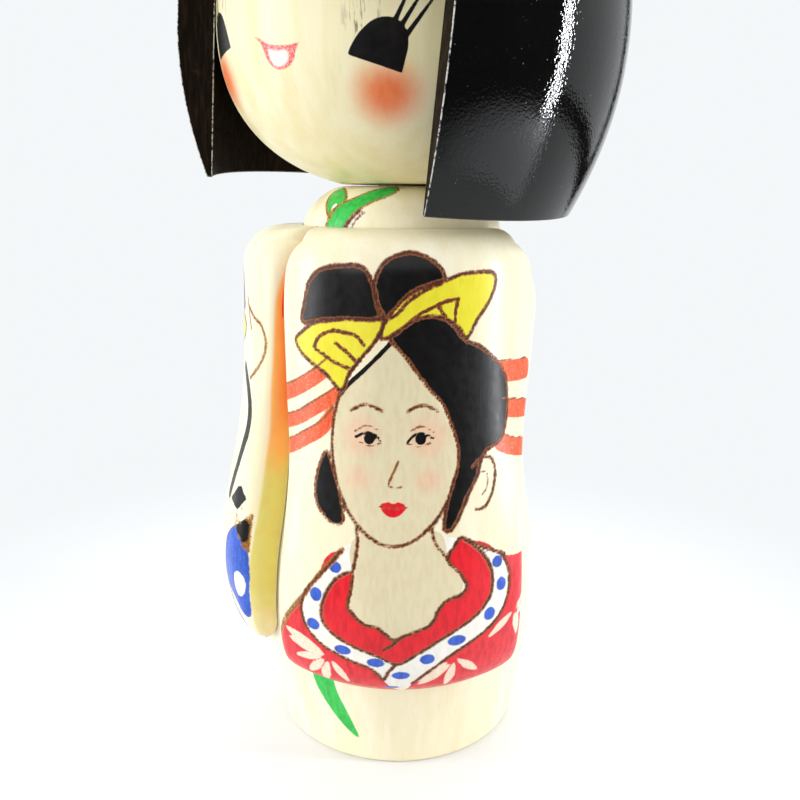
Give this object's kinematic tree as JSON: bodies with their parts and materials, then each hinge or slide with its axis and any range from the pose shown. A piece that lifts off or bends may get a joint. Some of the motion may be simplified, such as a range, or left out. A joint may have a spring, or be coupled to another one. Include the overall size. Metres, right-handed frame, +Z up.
{
  "type": "kokeshi doll",
  "caption": "Turned wooden kokeshi doll with two carved sleeve panels, a painted finish and a bobbed lacquered hair shell; its head turns on a dowel in the neck.",
  "frame": {"origin": "centre of the foot's underside, on the surface that the doll stands on", "axes": "+Z up along the turning axis; -Y is the doll's front, +X its left side"},
  "size_m": [0.0722, 0.0711, 0.1587],
  "materials": {
    "painted_wood": "cream wood with clear satin varnish and hand-painted, burned-line decoration",
    "black_lacquer": "turned wood under high-gloss black lacquer with fine orange peel",
    "bare_wood": "bare birch dowel"
  },
  "bodies": {
    "doll_body": {"body_core": "painted_wood", "sleeve_left": "painted_wood", "sleeve_right": "painted_wood"},
    "head_group": {"head": "painted_wood", "hair_cap": "black_lacquer", "neck_peg": "bare_wood"}
  },
  "joints": [
    {"name": "head_turn", "type": "hinge", "parent": "doll_body", "child": "head_group", "pos_m": [0, 0, 0.097], "axis": [0, 0, 1], "continuous": true}
  ]
}
